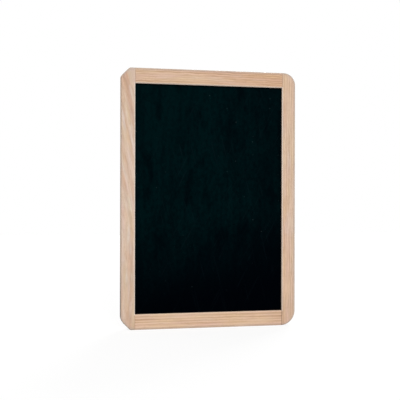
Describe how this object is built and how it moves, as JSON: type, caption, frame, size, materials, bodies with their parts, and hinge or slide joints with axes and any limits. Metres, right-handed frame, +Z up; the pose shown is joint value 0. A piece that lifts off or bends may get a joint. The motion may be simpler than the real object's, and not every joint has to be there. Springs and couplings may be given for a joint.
{
  "type": "slate writing board",
  "caption": "Framed writing slate: a flat stone panel held in the grooves of a slim wooden frame with shaped corners and pinned corner joints.",
  "frame": {"origin": "middle of the bottom edge, halfway through the thickness", "axes": "+X to the writer's right, +Y from the writing face to the back, +Z up along the stiles"},
  "size_m": [0.18, 0.01, 0.26],
  "materials": {
    "slate": "rubbed smooth, dark blue-green black",
    "frame_wood": "bare sanded pale hardwood",
    "brad_steel": "bright drawn wire"
  },
  "bodies": {
    "root": {"slate_panel": "slate", "left_stile": "frame_wood", "right_stile": "frame_wood", "top_rail": "frame_wood", "bottom_rail": "frame_wood", "corner_brads": "brad_steel"}
  },
  "joints": []
}
